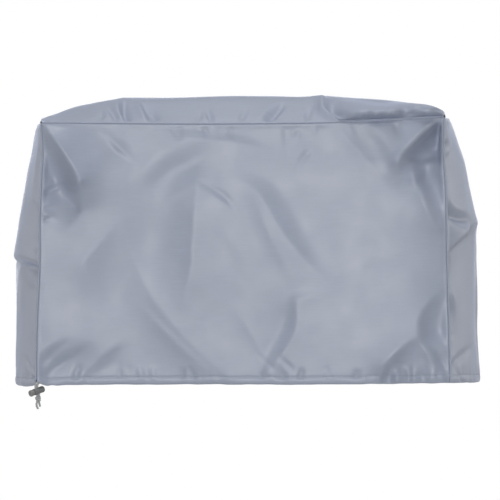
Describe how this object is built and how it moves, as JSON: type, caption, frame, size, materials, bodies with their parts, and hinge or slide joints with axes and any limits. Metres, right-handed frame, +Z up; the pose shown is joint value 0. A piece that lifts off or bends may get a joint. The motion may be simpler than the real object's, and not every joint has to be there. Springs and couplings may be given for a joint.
{
  "type": "grill cover",
  "caption": "Box-shaped fitted cloth cover for a table grill, with a crowned top, sewn corner seams and a drawcord hem closed by a spring cord lock.",
  "frame": {"origin": "middle of the flat underside of the crown, where the grill's lid carries the cover", "axes": "+Z up, the front panel faces -Y, +X towards the right panel"},
  "size_m": [0.704, 0.4362, 0.4759],
  "materials": {
    "cloth": "fine plain-weave polyester with a thin weatherproof coat, slightly shiny, grey-blue",
    "cord": "soft braided polyester, light grey, frayed at the cut ends",
    "lock_shell": "moulded, fine satin, dark grey",
    "lock_button": "moulded, fine satin, mid grey",
    "spring_wire": "drawn wire"
  },
  "bodies": {
    "cover": {"front_panel": "cloth", "back_panel": "cloth", "left_panel": "cloth", "right_panel": "cloth", "top_panel": "cloth", "drawcord": "cord"},
    "cord_lock": {"lock_barrel": "lock_shell", "lock_spring": "spring_wire", "cord_strands": "cord"},
    "plunger": {"lock_plunger": "lock_button"},
    "cord_end": {"cord_knot": "cord", "cord_tails": "cord"}
  },
  "joints": [
    {"name": "lock_swing", "type": "hinge", "parent": "cover", "child": "cord_lock", "pos_m": [-0.31, -0.211, -0.4384], "axis": [0.8192, 0.5736, 0], "range_deg": [-30, 30]},
    {"name": "plunger_press", "type": "slide", "parent": "cord_lock", "child": "plunger", "axis": [0.7834, 0.5485, 0.2924], "range_m": [0, 0.0033], "stiffness_N_per_m": 800, "springref_m": -0.004, "deforming": ["lock_spring"]},
    {"name": "drawcord_pull", "type": "slide", "parent": "cord_lock", "child": "cord_end", "axis": [0, 0, -1], "range_m": [0, 0.2], "deforming": ["cord_strands"]}
  ]
}
